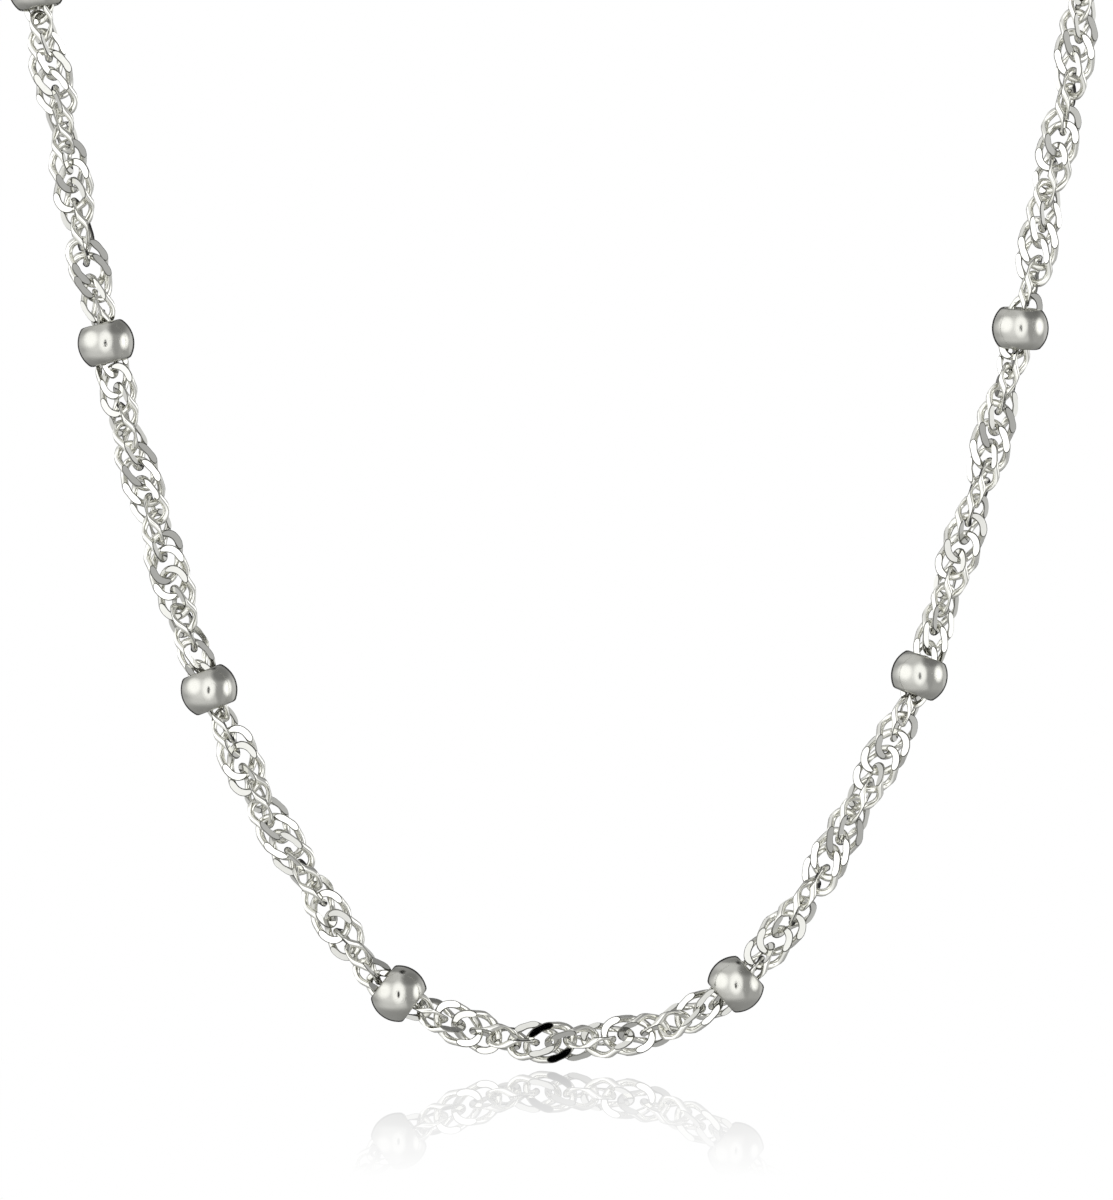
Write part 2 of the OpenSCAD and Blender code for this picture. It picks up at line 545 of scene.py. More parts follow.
class Finish(Enum):
    """The silver finishes of the pieces."""

    CUT = Silver("silver_cut_face", color=(0.88, 0.88, 0.855), rough=(0.01, 0.04),
                 streak=0.0001 * MM, wear=0.0001 * MM, tarnish_and_shade=0.2, grain=2.5)
    # Painted shade: the broken edge is given a dark colour, which draws a thin dark outline round each cut
    # face.
    EDGE = Silver("silver_edge_painted_shade", color=(0.18, 0.18, 0.17), rough=(0.20, 0.30),
                  streak=0.0003 * MM, wear=0.0003 * MM, tarnish_and_shade=0.4, grain=2.5)
    WIRE = Silver("silver_drawn_wire", color=(0.872, 0.87, 0.84), rough=(0.04, 0.09),
                  streak=0.0015 * MM, wear=0.0003 * MM, tarnish_and_shade=0.5, grain=2.0)
    BEAD = Silver("silver_bead", color=(0.607, 0.605, 0.578), rough=(0.10, 0.15),
                  streak=0.0013 * MM, wear=0.0012 * MM, tarnish_and_shade=0.5, grain=1.5)
    BORE = Silver("silver_bead_inside", color=(0.47, 0.465, 0.43), rough=(0.35, 0.5),
                  streak=0.002 * MM, wear=0.001 * MM, tarnish_and_shade=1.0, grain=3.0)
    CLASP = Silver("silver_clasp", color=(0.75, 0.752, 0.725), rough=(0.10, 0.18),
                   streak=0.001 * MM, wear=0.0015 * MM, tarnish_and_shade=0.4, grain=2.5)


class Dresser:
    """Makes the materials once and hands them out."""

    def __init__(self) -> None:
        """Builds the shared effects and every finish."""
        effects = Effects()
        self._made = {finish: finish.value.material(effects) for finish in Finish}

    def dress(self, mesh: bpy.types.Mesh, *finishes: Finish) -> None:
        """Gives a mesh its material slots in the given order."""
        for finish in finishes:
            mesh.materials.append(self._made[finish])


@dataclass
class Shape:
    """Polygons of one thing in its own axes, ready to be copied along the chain.

    Attributes:
        points: One row for each point.
        corners: Point numbers of all polygons, one after another.
        sizes: Corner count of each polygon.
        looks: Material number of each polygon.
        flat: Whether each polygon is shaded flat.
        grain: Where each point lies for the patterns: along the metal's grain, and two ways across it.
        depth: How hidden each point is, from 0 to 1, which sets how strong the painted shade is.
    """

    points: np.ndarray
    corners: np.ndarray
    sizes: np.ndarray
    looks: np.ndarray
    flat: np.ndarray
    grain: np.ndarray
    depth: np.ndarray

    @property
    def triangles(self) -> int:
        """Number of triangles in all polygons."""
        return int((self.sizes - 2).sum())

    @staticmethod
    def from_bmesh(bm: bmesh.types.BMesh) -> "Shape":
        """Reads a shape from a bmesh whose flat faces have smooth off.

        Args:
            bm: The bmesh, with a vertex layer called grain. It is freed.

        Returns:
            The shape, with a depth of 0 all over.
        """
        bm.verts.index_update()
        layer = bm.verts.layers.float_vector["grain"]
        points = np.array([v.co[:] for v in bm.verts])
        grain = np.array([v[layer][:] for v in bm.verts])
        corners = np.array([v.index for f in bm.faces for v in f.verts])
        sizes = np.array([len(f.verts) for f in bm.faces])
        looks = np.array([f.material_index for f in bm.faces])
        flat = np.array([not f.smooth for f in bm.faces])
        bm.free()
        return Shape(points, corners, sizes, looks, flat, grain, np.zeros(len(points)))

    def copies(self, name: str, placed: np.ndarray, shifts: np.ndarray) -> bpy.types.Object:
        """One joined mesh of several copies.

        Args:
            name: Name of the new piece.
            placed: Points of every copy in the frame, copies by points by 3.
            shifts: How far each copy's patterns are moved, so that no two copies look the same.

        Returns:
            The new object, linked to the scene.
        """
        count, each = len(placed), len(self.points)
        corners = (self.corners[None] + (np.arange(count) * each)[:, None]).ravel()
        sizes = np.tile(self.sizes, count)
        starts = np.concatenate([[0], np.cumsum(sizes)[:-1]])
        mesh = bpy.data.meshes.new(name)
        mesh.vertices.add(count * each)
        mesh.vertices.foreach_set("co", placed.astype(np.float32).ravel())
        mesh.loops.add(len(corners))
        mesh.loops.foreach_set("vertex_index", corners.astype(np.int32))
        mesh.polygons.add(len(sizes))
        mesh.polygons.foreach_set("loop_start", starts.astype(np.int32))
        mesh.polygons.foreach_set("material_index", np.tile(self.looks, count).astype(np.int32))
        mesh.polygons.foreach_set("use_smooth", np.tile(~self.flat, count))
        mesh.update(calc_edges=True)
        mesh.attributes.new("grain", "FLOAT_VECTOR", "POINT").data.foreach_set(
            "vector", (self.grain[None] + shifts[:, None]).astype(np.float32).ravel())
        mesh.attributes.new("depth", "FLOAT", "POINT").data.foreach_set(
            "value", np.tile(self.depth, count).astype(np.float32))
        mesh.validate()
        obj = bpy.data.objects.new(name, mesh)
        bpy.context.scene.collection.objects.link(obj)
        return obj


@dataclass
class Link:
    """One wire link: a twisted, leaning oval, filed flat on both sides.

    The oval's long axis is X and its short one Y. Its upper left and lower right quarters stand in front
    and are straighter than the other two.

    Attributes:
        length: Length of the wire's middle line.
        width: Width of the wire's middle line.
        fullness: How full the quarters in front and the other two are: 2 is an oval, less is straighter.
        slant: How far the oval leans, as a share of the distance from its long axis.
        wire: Thickness of the wire.
        spread: How much broader the wire is where it stands out most, as a share.
        lift: How far the quarters stand out, and how that is shifted along them.
        heel: How far the ends stand in front and the sides behind; below zero it is the other way round.
        filed: Height of the filed faces over the link's middle plane.
        edge: Width of the broken edge.
        drop: Height of the broken edge.
        rounding: Rounds of smoothing of the middle line.
        outline_steps: Points of the oval from which the middle line is read.
        steps: Points of the middle line.
        sides: Points round the wire.
        snap: How near a point counts as on the cut, as a share of the wire.
    """

    length: float = 2.474 * MM
    width: float = 1.845 * MM
    fullness: tuple[float, float] = (1.7, 2.5)
    slant: float = 0.15
    wire: float = 0.364 * MM
    spread: float = 0.22
    lift: tuple[float, float] = (0.290 * MM, -0.053 * MM)
    heel: float = -0.053 * MM
    filed: float = 0.285 * MM
    edge: float = 0.046 * MM
    drop: float = 0.044 * MM
    rounding: int = 4
    outline_steps: int = 720
    steps: int = 52
    sides: int = 14
    snap: float = 0.002

    def middle_line(self) -> np.ndarray:
        """Points of the wire's middle line, evenly spaced round the oval.

        Returns:
            One point for each step.
        """
        turn = np.linspace(0, 2 * math.pi, self.outline_steps + 1)
        cos, sin = np.cos(turn), np.sin(turn)
        power = 2 / np.where(cos * sin < 0, *self.fullness)
        y = self.width / 2 * np.sign(sin) * np.abs(sin) ** power
        x = self.length / 2 * np.sign(cos) * np.abs(cos) ** power + self.slant * y
        run = np.concatenate([[0], np.cumsum(np.hypot(np.diff(x), np.diff(y)))])
        even = np.linspace(0, run[-1], self.steps, endpoint=False)
        flat = np.stack([np.interp(even, run, x), np.interp(even, run, y)], -1)
        for _ in range(self.rounding):
            flat = (np.roll(flat, 1, 0) + 2 * flat + np.roll(flat, -1, 0)) / 4
        w = even / run[-1] * 2 * math.pi
        z = self.heel * np.cos(2 * w) - self.lift[0] * np.sin(2 * w) - self.lift[1] * np.sin(4 * w)
        return np.concatenate([flat, z[:, None]], -1)

    def reach(self) -> float:
        """Half the length of the wire's middle line along X."""
        return float(np.abs(self.middle_line()[:, 0]).max())

    @property
    def around(self) -> np.ndarray:
        """Angles of the points round the wire, from its outward side."""
        return (np.arange(self.sides) + 0.5) * 2 * math.pi / self.sides

    def skin(self, line: np.ndarray) -> np.ndarray:
        """The wire's surface before it is filed.

        Args:
            line: Points of the wire's middle line.

        Returns:
            A ring of points for each of them.
        """
        along = np.roll(line, -1, 0) - np.roll(line, 1, 0)
        along /= np.linalg.norm(along, axis=1)[:, None]
        outward = line * np.array([1, 1, 0])
        outward -= (outward * along).sum(1)[:, None] * along
        outward /= np.linalg.norm(outward, axis=1)[:, None]
        side = np.cross(along, outward)
        cos, sin = np.cos(self.around)[None, :, None], np.sin(self.around)[None, :, None]
        points = line[:, None] + self.wire / 2 * (cos * outward[:, None] + sin * side[:, None])
        out = np.abs(line[:, 2])
        broader = self.spread * out / out.max()
        return points + self.wire / 2 * broader[:, None, None] * cos * outward[:, None]

    def shape(self) -> Shape:
        """Builds the filed link.

        Returns:
            The link's shape, with the material numbers of Look.
        """
        line = self.middle_line()
        run = np.concatenate([[0], np.cumsum(np.linalg.norm(np.roll(line, -1, 0) - line, axis=1))])
        bm = bmesh.new()
        layer = bm.verts.layers.float_vector.new("grain")
        verts = [[bm.verts.new(p) for p in row] for row in self.skin(line)]
        for j, row in enumerate(verts):
            for vert, a in zip(row, self.around):
                vert[layer] = (run[j], self.wire / 2 * math.cos(a), self.wire / 2 * math.sin(a))
        for j in range(self.steps):
            for k in range(self.sides):
                a, b = verts[j], verts[(j + 1) % self.steps]
                quad = (a[k], a[(k + 1) % self.sides], b[(k + 1) % self.sides], b[k])
                bm.faces.new(quad).smooth = True
        bmesh.ops.recalc_face_normals(bm, faces=bm.faces)
        for front in (1, -1):
            self._file(bm, front)
        shape = Shape.from_bmesh(bm)
        # Painted shade with tarnishing: points nearer the chain's middle, where the links cross, count as
        # more hidden.
        radius = np.hypot(shape.points[:, 1], shape.points[:, 2])
        shape.depth = np.clip(1 - radius / radius.max(), 0, 1)
        return shape

    def _file(self, bm: bmesh.types.BMesh, front: int) -> None:
        """Cuts one side of the link flat, with a fine broken edge round the cut.

        Args:
            bm: The link, which is changed.
            front: 1 for the +Z side, -1 for the other.
        """
        cut = bmesh.ops.bisect_plane(
            bm, geom=bm.verts[:] + bm.edges[:] + bm.faces[:], dist=self.wire * self.snap,
            plane_co=(0, 0, front * (self.filed - self.drop)), plane_no=(0, 0, front), clear_outer=True)
        rim = [e for e in cut["geom_cut"] if isinstance(e, bmesh.types.BMEdge)]
        faces = bmesh.ops.edgenet_fill(bm, edges=rim)["faces"]
        for face in faces:
            face.smooth = False
            face.material_index = Look.CUT
            face.normal_update()
            if face.normal.z * front < 0:
                face.normal_flip()
        # The narrow border round the cut takes the dark edge finish, a painted shade outline.
        border = bmesh.ops.inset_individual(bm, faces=faces, thickness=self.edge, depth=self.drop)["faces"]
        for face in border:
            face.smooth = False
            face.material_index = Look.EDGE


@dataclass
class Chain:
    """All links of the loop, in joined pieces that replace the two plain tubes.

    Attributes:
        route: Where the chain runs.
        link: The link that is repeated.
        link_pitch: Distance from one link to the next.
        half_turns: Half turns of twist in each bead space of the front, from the -X side on.
        back_half_turns: About how many there are in a bead space further round.
        turn_at_middle: Half turns at the middle of the chain, between the two lowest beads.
        squeeze: How much narrower the links next to a bead are, as a share.
        squeeze_from: Distance from a bead's middle where the links start to widen.
        squeeze_to: Distance from a bead's middle where they have their full width.
        roll_deg: How far a link usually rolls about the chain.
        tilt_deg: How far a link usually tilts in the two other ways.
        lean_limit: The most that it rolls or tilts, as a multiple of that.
        stagger: The most that a link has slid along the chain.
        stagger_links: Number of links over which the sliding changes.
        pieces_a_half: Joined pieces for each half of the chain.
        seed: Seed of the random rolls, tilts and slides.
    """

    route: Route
    link: Link
    link_pitch: float = 1.0026 * MM
    half_turns: tuple[float, ...] = (3.55, 3.57, 3.88, 4.34, 3.34, 3.26, 3.82)
    back_half_turns: float = 3.7
    turn_at_middle: float = 0.245
    squeeze: float = 0.18
    squeeze_from: float = 1.3 * MM
    squeeze_to: float = 3.4 * MM
    roll_deg: float = 7.0
    tilt_deg: float = 2.8
    lean_limit: float = 2.0
    stagger: float = 0.11 * MM
    stagger_links: int = 5
    pieces_a_half: int = 2
    seed: int = 3614

    def turns(self, c: np.ndarray) -> np.ndarray:
        """Half turns of twist along the chain.

        The twist behind is chosen so that the first and the last link stand upright, to take a level ring.

        Args:
            c: Places of the links along the chain, from midway between the two lowest beads.

        Returns:
            Half turns, at whole numbers where the links lie flat to the front.
        """
        shown = len(self.half_turns)
        edges = (np.arange(shown + 1) - shown / 2) * self.route.bead_pitch
        rise = np.concatenate([[0], np.cumsum(self.half_turns)])
        rise += self.turn_at_middle - np.interp(0, edges, rise)
        spare = np.array([c[0] - edges[0], c[-1] - edges[-1]]) / self.route.bead_pitch
        ends = np.array([rise[0], rise[-1]]) + spare * self.back_half_turns
        ends = np.round(ends - 0.5) + 0.5
        return np.interp(c, [c[0], *edges, c[-1]], [ends[0], *rise, ends[1]])

    def squeezed(self, c: np.ndarray) -> np.ndarray:
        """How narrow the links are: beads press them together.

        Args:
            c: Places of the links along the chain.

        Returns:
            A factor for the width of each link.
        """
        pitch = self.route.bead_pitch
        gap = np.abs((c / pitch - 0.5) - np.round(c / pitch - 0.5)) * pitch
        free = np.clip((gap - self.squeeze_from) / (self.squeeze_to - self.squeeze_from), 0, 1)
        return 1 - self.squeeze * (1 - free * free * (3 - 2 * free))

    def staggered(self, count: int, rng: np.random.Generator) -> np.ndarray:
        """How far each link has slid: every other link lies a little nearer to one of its neighbours.

        Args:
            count: Number of links.
            rng: Seeded random numbers.

        Returns:
            A small length for each link.
        """
        knots = rng.uniform(-1, 1, count // self.stagger_links + 3)
        slow = np.interp(np.arange(count) / self.stagger_links, np.arange(len(knots)), knots)
        return self.stagger * slow * np.where(np.arange(count) % 2, 1, -1)

    def placed(self, shape: Shape, c: np.ndarray, rng: np.random.Generator) -> np.ndarray:
        """Copies the link to its places, turned with the twist and leaning a little.

        Args:
            shape: The link.
            c: Places of the links along the chain.
            rng: Seeded random numbers.

        Returns:
            Points of every link in the frame, links by points by 3.
        """
        points, axes = self.route.stations(c + self.route.slip, self.link.reach())
        usual = np.radians([self.roll_deg, self.tilt_deg, self.tilt_deg])
        lean = np.clip(rng.standard_normal((len(c), 3)), -self.lean_limit, self.lean_limit) * usual
        local = np.broadcast_to(shape.points, (len(c), *shape.points.shape)).copy()
        local[:, :, 1:] *= self.squeezed(c)[:, None, None]
        rolled = self._turned(local, math.pi * self.turns(c) + lean[:, 0], lean[:, 1:])
        return points[:, None] + np.einsum("kij,kpj->kpi", axes, rolled)

    def build(self, dresser: Dresser, ends: tuple[float, float]) -> None:
        """Makes the links as joined meshes, hung on the root body.

        Args:
            dresser: Hands out the materials.
            ends: Places of the first and the last link along the chain.
        """
        shape = self.link.shape()
        count = round((ends[1] - ends[0]) / self.link_pitch) + 1
        rng = np.random.default_rng(self.seed)
        c = np.linspace(ends[0], ends[1], count) + self.staggered(count, rng)
        placed = self.placed(shape, c, rng)
        shifts = rng.uniform(0, 1, (count, 3)) * self.link.length * count
        for side, mine in (("left", c < 0), ("right", c >= 0)):
            for i, part in enumerate(np.array_split(np.flatnonzero(mine), self.pieces_a_half)):
                obj = shape.copies(f"links_{side}_{i + 1}", placed[part], shifts[part])
                dresser.dress(obj.data, *(Finish[look.name] for look in Look))
                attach(obj, "root")
                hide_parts(f"chain_{side}")
                LOG.info("%s: %d links, %d triangles", obj.name, len(part), len(part) * shape.triangles)

    @staticmethod
    def _turned(local: np.ndarray, roll: np.ndarray, tilt: np.ndarray) -> np.ndarray:
        """Rolls each copy about X and tilts it a little about Y and Z.

        Args:
            local: Points of each copy.
            roll: Roll of each copy.
            tilt: Two small angles of each copy, about Y and about Z.

        Returns:
            The turned points.
        """
        zero, one = np.zeros_like(roll), np.ones_like(roll)
        cx, sx = np.cos(roll), np.sin(roll)
        cy, sy = np.cos(tilt[:, 0]), np.sin(tilt[:, 0])
        cz, sz = np.cos(tilt[:, 1]), np.sin(tilt[:, 1])
        rx = np.array([[one, zero, zero], [zero, cx, -sx], [zero, sx, cx]]).transpose(2, 0, 1)
        ry = np.array([[cy, zero, sy], [zero, one, zero], [-sy, zero, cy]]).transpose(2, 0, 1)
        rz = np.array([[cz, -sz, zero], [sz, cz, zero], [zero, zero, one]]).transpose(2, 0, 1)
        return np.einsum("kij,kpj->kpi", rx @ ry @ rz, local)


@dataclass
class Bead:
    """A hollow barrel bead with rounded lips.

    Attributes:
        diameter: Diameter at its middle.
        length: Length between its two cut ends.
        wall: Thickness of its wall.
        bore: Diameter of the hole for the chain.
        lip: How far its lips are rounded.
        arc_steps: Points of the outer wall's outline, of which the inner wall has half.
        sides: Points round the bead.
        shade_power: How fast the tarnishing and painted shade thin from the ends towards the middle.
    """

    diameter: float = 3.0 * MM
    length: float = 2.1 * MM
    wall: float = 0.2 * MM
    bore: float = 1.9 * MM
    lip: float = 0.045 * MM
    arc_steps: int = 26
    sides: int = 72
    shade_power: int = 3

    def profile(self) -> list[tuple[float, float]]:
        """The wall's closed outline, as radius and height.

        Returns:
            Points from the lower lip up the outside, over the upper lip and down the inside.
        """
        outer, inner, half = self.diameter / 2, self.diameter / 2 - self.wall, self.length / 2
        reach = half - self.lip
        top = math.asin(reach / outer)
        out = [(outer * math.cos(a), outer * math.sin(a)) for a in np.linspace(-top, top, self.arc_steps)]
        rim = math.sqrt(outer ** 2 - half ** 2) - self.lip
        bore = self.bore / 2
        inside_half = math.sqrt(inner ** 2 - bore ** 2)
        low = math.asin(min(inside_half, reach) / inner)
        inward = np.linspace(low, -low, self.arc_steps // 2)
        back = [(inner * math.cos(a), inner * math.sin(a)) for a in inward]
        lip_top = [(rim, half), (bore + self.lip, half), (bore, reach)]
        lip_bottom = [(r, -z) for r, z in reversed(lip_top)]
        return out + lip_top + back + lip_bottom

    def shape(self) -> Shape:
        """Turns the profile round the bead's axis, which is X.

        Returns:
            The bead's shape: material 0 outside, 1 inside.
        """
        profile = self.profile()
        rings = len(profile)
        turn = np.arange(self.sides) * 2 * math.pi / self.sides
        r, h = np.array(profile).T
        points = np.stack([np.broadcast_to(h, (self.sides, rings)),
                           np.cos(turn)[:, None] * r, np.sin(turn)[:, None] * r], -1).reshape(-1, 3)
        a = np.arange(self.sides)[:, None] * rings + np.arange(rings)
        b = np.roll(a, -1, 0)
        quads = np.stack([a, np.roll(a, -1, 1), np.roll(b, -1, 1), b], -1).reshape(-1, 4)
        lip_points = (rings - self.arc_steps - self.arc_steps // 2) // 2
        inside = np.zeros(rings, int)
        inside[self.arc_steps + lip_points:rings - lip_points] = 1
        shape = Shape(points, quads.ravel(), np.full(len(quads), 4), np.tile(inside, self.sides),
                      np.zeros(len(quads), bool), points.copy(), np.zeros(len(points)))
        # Painted shade with tarnishing: the bead counts as more hidden towards its ends, next to the
        # chain.
        shape.depth = np.clip(np.abs(points[:, 0]) / (self.length / 2), 0, 1) ** self.shade_power
        return shape


@dataclass
class Beads:
    """The beads along the chain, each a piece of its own in place of its node.

    Attributes:
        route: Where the chain runs.
        bead: The bead that is repeated.
        seat: Half the straight stretch of chain through a bead.
        loose_deg: The most that a bead tilts on the chain.
        leaning: Node of the one bead that leans clearly.
        lean_deg: How far that bead leans, inward and outward.
        pattern_shift: The most that a bead's patterns are moved.
        seed: Seed of the random tilts.
    """

    route: Route
    bead: Bead
    seat: float = 1.3333 * MM
    loose_deg: float = 1.0
    leaning: str = "bead_right_03"
    lean_deg: tuple[float, float] = (9.0, 6.0)
    pattern_shift: float = 100 * MM
    seed: int = 11

    def leant(self, axes: np.ndarray, turn: float, tip: float) -> np.ndarray:
        """A bead's axes after it has tilted on the chain.

        Args:
            axes: Columns along, inward and outward.
            turn: Angle from along towards inward.
            tip: Angle from there towards outward.

        Returns:
            The new columns.
        """
        along, inward, outward = axes.T
        level = math.cos(turn) * along + math.sin(turn) * inward
        run = math.cos(tip) * level + math.sin(tip) * outward
        n = math.cos(turn) * inward - math.sin(turn) * along
        return np.stack([run, n, np.cross(run, n)], -1)

    def build(self, dresser: Dresser) -> None:
        """Makes every bead at its node's place.

        Args:
            dresser: Hands out the materials.
        """
        shape = self.bead.shape()
        rng = np.random.default_rng(self.seed)
        for side, sign in (("right", 1), ("left", -1)):
            for i in range(self.route.half_beads):
                node = f"bead_{side}_{i + 1:02d}"
                at = np.array([sign * self.route.bead_at(i) + self.route.slip])
                ends = self.route.place(np.concatenate([at - self.seat, at + self.seat]))
                _, axes = self.route.stations(at, self.seat)
                middle = ends.mean(0)
                lean = rng.uniform(-self.loose_deg, self.loose_deg, 2)
                if node == self.leaning:
                    lean = self.lean_deg
                placed = middle + shape.points @ self.leant(axes[0], *np.radians(lean)).T
                shifts = rng.uniform(0, self.pattern_shift, (1, 3))
                obj = shape.copies(f"shell_{node}", placed[None], shifts)
                dresser.dress(obj.data, Finish.BEAD, Finish.BORE)
                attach(obj, "root")
                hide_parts(node)
                LOG.info("%s: %d triangles", obj.name, shape.triangles)


@dataclass
class Fittings:
    """The spring ring clasp and its two rings at the back: the frame's own solids, dressed.

    Attributes:
        nodes: The frame's solids by name.
        route: Where the chain runs.
    """

    nodes: dict[str, bpy.types.Object]
    route: Route

    def chain_ends(self, link: Link) -> tuple[float, float]:
        """Where the first and the last link hang in the rings.

        Args:
            link: The chain's link.

        Returns:
            Places of both links along the chain, from midway between the two lowest beads.
        """
        ends = []
        for name, sign in (("jump_ring", -1), ("catch_ring", 1)):
            low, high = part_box(name)
            middle, size = (low + high) / 2, high - low
            angle = math.atan2(middle.y, abs(middle.x))
            front = self.route.front_len + self.route.turn_len
            near = front + angle * self.route.loop_r - (size.x - size.z) / 2
            inside = near + (size.z + link.wire) / 2 - link.reach()
            ends.append(sign * inside - self.route.slip)
        return ends[0], ends[1]

    def build(self, dresser: Dresser) -> None:
        """Dresses the clasp, the catch ring and the jump ring."""
        for name in ("clasp", "catch_ring", "jump_ring"):
            obj = self.nodes[name]
            obj.data.materials.clear()
            dresser.dress(obj.data, Finish.CLASP)
            LOG.info("%s: dressed", name)


@dataclass(frozen=True)
class Panel:
    """A soft-edged patch of the light tent.

    It is placed where a mirror ball in front of the camera shows it, the ball's radius being 1.

    Attributes:
        x: Middle of the patch, across.
        z: Middle of the patch, upwards.
        wide: Half its width.
        high: Half its height.
        soft: How far its edge fades to either side, as a share of its size.
        level: How bright it is.
    """

    x: float
    z: float
    wide: float
    high: float
    soft: float
    level: float


@dataclass
class LightTent:
    """White all round for the eye, and for the metal a tent of bright and dark patches.

    Attributes:
        base: Level where there is no patch.
        rim_from: Where the dark rim of the mirror ball starts, as a share of its radius.
        rim_fade: Where the rim is fully dark, as a share of the squared depth at its start.
        rim: Level of the rim.
        backdrop_from: Where the white backdrop fades in, as the cosine of the angle to +Y.
        backdrop_to: Where it is fully white.
        panels: The patches, of which the later ones lie over the earlier.
    """

    base: float = 0.56
    rim_from: float = 0.935
    rim_fade: float = 0.6
    rim: float = 0.03
    backdrop_from: float = 0.98
    backdrop_to: float = 0.99
    panels: tuple[Panel, ...] = (
        Panel(-0.16, 0.60, 0.50, 0.17, 0.5, 0.84),
        Panel(0.00, 0.84, 0.80, 0.07, 0.5, 0.38),
        Panel(-0.18, -0.34, 0.46, 0.20, 0.5, 0.90),
        Panel(0.00, -0.84, 1.80, 0.26, 0.6, 0.41),
        Panel(-0.30, 0.06, 0.54, 0.32, 0.3, 1.07),
        Panel(-0.51, 0.13, 0.20, 0.23, 0.5, 1.68),
        Panel(0.00, 0.05, 0.20, 0.34, 0.4, 1.60),
        Panel(0.37, 0.02, 0.11, 0.50, 0.4, 0.47),
        Panel(0.41, 0.55, 0.29, 0.23, 0.4, 0.28),
        Panel(0.66, 0.06, 0.12, 0.23, 0.5, 1.86),
        Panel(0.90, 0.00, 0.08, 0.60, 0.4, 0.79),
        Panel(0.13, 0.77, 0.10, 0.06, 0.5, 0.03),
        Panel(0.00, -0.01, 0.040, 0.12, 0.35, 0.00),
    )

    def build(self) -> None:
        """Makes the world."""
        world = bpy.data.worlds.new("light_tent")
        bpy.context.scene.world = world
        world.use_nodes = True
        tree = world.node_tree
        back = tree.nodes["Background"]
        back.inputs["Color"].default_value = (1, 1, 1, 1)
        where = tree.nodes.new("ShaderNodeTexCoord")
        half_way = tree.nodes.new("ShaderNodeVectorMath")
        half_way.operation = "SUBTRACT"
        half_way.inputs[1].default_value = (0, 1, 0)
        tree.links.new(where.outputs["Generated"], half_way.inputs[0])
        unit = tree.nodes.new("ShaderNodeVectorMath")
        unit.operation = "NORMALIZE"
        tree.links.new(half_way.outputs["Vector"], unit.inputs[0])
        split = tree.nodes.new("ShaderNodeSeparateXYZ")
        tree.links.new(unit.outputs["Vector"], split.inputs["Vector"])
        base = tree.nodes.new("ShaderNodeValue")
        base.outputs[0].default_value = self.base
        level = base.outputs[0]
        for panel in self.panels:
            level = self._lay(tree, level, self._mask(tree, split, panel), panel.level)
        facing = math_node(tree, "MULTIPLY", split.outputs["Y"], split.outputs["Y"])
        rim_y = 1 - self.rim_from ** 2
        edge = range_node(tree, facing, self.rim_fade * rim_y, rim_y, 1.0, 0.0)
        level = self._lay(tree, level, edge, self.rim)
        ray = tree.nodes.new("ShaderNodeSeparateXYZ")
        tree.links.new(where.outputs["Generated"], ray.inputs["Vector"])
        behind = range_node(tree, ray.outputs["Y"], self.backdrop_from, self.backdrop_to, 0.0, 1.0)
        level = self._lay(tree, level, behind, 1.0)
        eye = tree.nodes.new("ShaderNodeLightPath")
        tree.links.new(self._lay(tree, level, eye.outputs["Is Camera Ray"], 1.0), back.inputs["Strength"])

    @staticmethod
    def _mask(tree: bpy.types.NodeTree, split: bpy.types.Node, panel: Panel) -> bpy.types.NodeSocket:
        """Where a panel lies.

        Args:
            tree: Node tree to add to.
            split: Node that gives the place on the mirror ball.
            panel: The panel.

        Returns:
            A mask that is 1 inside the panel's oval and fades to 0 round it.
        """
        squares = []
        for axis, middle, half in (("X", panel.x, panel.wide), ("Z", panel.z, panel.high)):
            away = math_node(tree, "MULTIPLY_ADD", split.outputs[axis], 1 / half, -middle / half)
            squares.append(math_node(tree, "MULTIPLY", away, away))
        reach = math_node(tree, "ADD", *squares)
        inner, outer = (1 - panel.soft) ** 2, (1 + panel.soft) ** 2
        return range_node(tree, reach, inner, outer, 1.0, 0.0)

    @staticmethod
    def _lay(tree: bpy.types.NodeTree, under: bpy.types.NodeSocket, mask: bpy.types.NodeSocket,
             level: float) -> bpy.types.NodeSocket:
        """Lays a light level over what is there.

        Args:
            tree: Node tree to add to.
            under: The levels so far.
            mask: Where the new level goes.
            level: The new level.

        Returns:
            The joined levels.
        """
        node = tree.nodes.new("ShaderNodeMix")
        node.inputs["B"].default_value = level
        tree.links.new(mask, node.inputs["Factor"])
        tree.links.new(under, node.inputs["A"])
        return node.outputs["Result"]


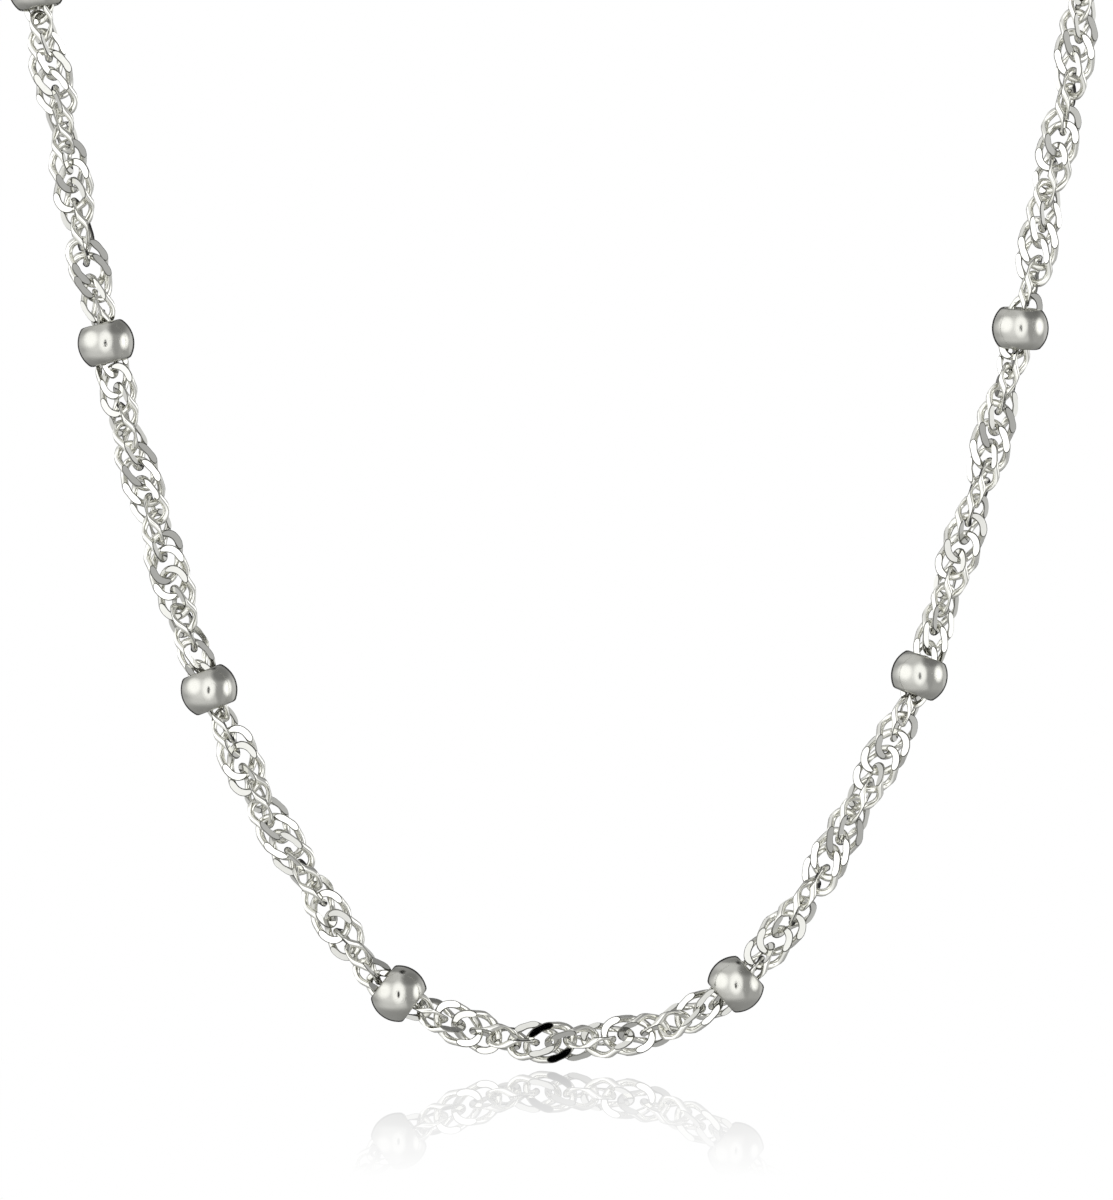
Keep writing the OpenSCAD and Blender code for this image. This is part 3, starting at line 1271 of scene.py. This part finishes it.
@dataclass
class Studio:
    """A pale glossy floor, a tent of light and the camera.

    Attributes:
        low_z: Height of the lowest point of the chain's middle line.
        floor_drop: How far below that the floor lies.
        view_rise: How far above that the middle of the picture lies.
        view_x: Middle of the picture, across.
        view_y: Depth of what the picture is measured on: the hanging front.
        frame_w: Width of what the picture shows there.
        distance: Distance from there to the camera.
        sensor: Width of the camera's sensor, in millimetres.
        clip: Nearest and furthest distance that the camera sees.
        image: Width and height of the picture, in pixels.
        floor_half: Half the width of the floor.
        mirror: Share of light that the floor mirrors under the chain.
        fade: Distance over which that share falls to nothing, towards the camera.
        shine_end: Where the shine ends, behind the hanging front.
    """

    low_z: float
    floor_drop: float = 1.27 * MM
    view_rise: float = 23.33 * MM
    view_x: float = -0.26 * MM
    view_y: float = -18 * MM
    frame_w: float = 58.6 * MM
    distance: float = 0.45
    sensor: float = 36.0
    clip: tuple[float, float] = (0.01, 20.0)
    image: tuple[int, int] = (1113, 1200)
    floor_half: float = 1.5
    mirror: float = 0.45
    fade: float = 0.085
    shine_end: tuple[float, float] = (4 * MM, 6 * MM)

    @property
    def floor_z(self) -> float:
        """Height of the floor."""
        return self.low_z - self.floor_drop

    def build(self) -> None:
        """Makes the floor, the tent and the camera."""
        self._floor()
        LightTent().build()
        self._camera()
        bpy.context.scene.view_settings.view_transform = "Standard"
        LOG.info("studio: floor at %.4f m", self.floor_z)

    def _floor(self) -> None:
        """A white floor whose shine is strongest under the chain and fades towards the camera."""
        half = self.floor_half
        mesh = bpy.data.meshes.new("floor")
        mesh.from_pydata([(-half, -half, self.floor_z), (half, -half, self.floor_z),
                          (half, half, self.floor_z), (-half, half, self.floor_z)], [], [(0, 1, 2, 3)])
        floor = bpy.data.objects.new("floor", mesh)
        bpy.context.scene.collection.objects.link(floor)
        mat = bpy.data.materials.new("pale_floor")
        mat.use_nodes = True
        tree = mat.node_tree
        tree.nodes.remove(tree.nodes["Principled BSDF"])
        output = tree.nodes["Material Output"]
        white = tree.nodes.new("ShaderNodeEmission")
        white.inputs["Color"].default_value = (1, 1, 1, 1)
        shine = tree.nodes.new("ShaderNodeBsdfGlossy")
        shine.inputs["Color"].default_value = (1, 1, 1, 1)
        shine.inputs["Roughness"].default_value = 0.0
        where = tree.nodes.new("ShaderNodeTexCoord")
        split = tree.nodes.new("ShaderNodeSeparateXYZ")
        tree.links.new(where.outputs["Object"], split.inputs["Vector"])
        y, front = split.outputs["Y"], self.view_y
        share = range_node(tree, y, front - self.fade, front, 0.0, self.mirror, "LINEAR")
        near = range_node(tree, y, *(front + end for end in self.shine_end), 1.0, 0.0)
        mix = tree.nodes.new("ShaderNodeMixShader")
        tree.links.new(math_node(tree, "MULTIPLY", share, near), mix.inputs["Fac"])
        tree.links.new(white.outputs[0], mix.inputs[1])
        tree.links.new(shine.outputs[0], mix.inputs[2])
        tree.links.new(mix.outputs[0], output.inputs["Surface"])
        mesh.materials.append(mat)
        floor.visible_glossy = False

    def _camera(self) -> None:
        """A long lens level with the middle of the hanging front."""
        data = bpy.data.cameras.new("camera")
        data.sensor_width = self.sensor
        long_side = self.frame_w * max(self.image) / self.image[0]
        data.lens = self.sensor * self.distance / long_side
        data.clip_start, data.clip_end = self.clip
        camera = bpy.data.objects.new("camera", data)
        camera.location = (self.view_x, self.view_y - self.distance, self.low_z + self.view_rise)
        camera.rotation_euler = (math.pi / 2, 0, 0)
        bpy.context.scene.collection.objects.link(camera)
        bpy.context.scene.camera = camera


def main() -> None:
    """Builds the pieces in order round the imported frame."""
    logging.basicConfig(level=logging.INFO, format="%(name)s %(message)s")
    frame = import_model()
    route = Route()
    dresser = Dresser()
    LOG.info("lowest point %.5f m, round back %.5f m", route.low_z, route.loop_r)
    Studio(route.low_z).build()
    fittings = Fittings(frame["nodes"], route)
    chain = Chain(route, Link())
    chain.build(dresser, fittings.chain_ends(chain.link))
    Beads(route, Bead()).build(dresser)
    fittings.build(dresser)


if __name__ == "__main__":
    main()
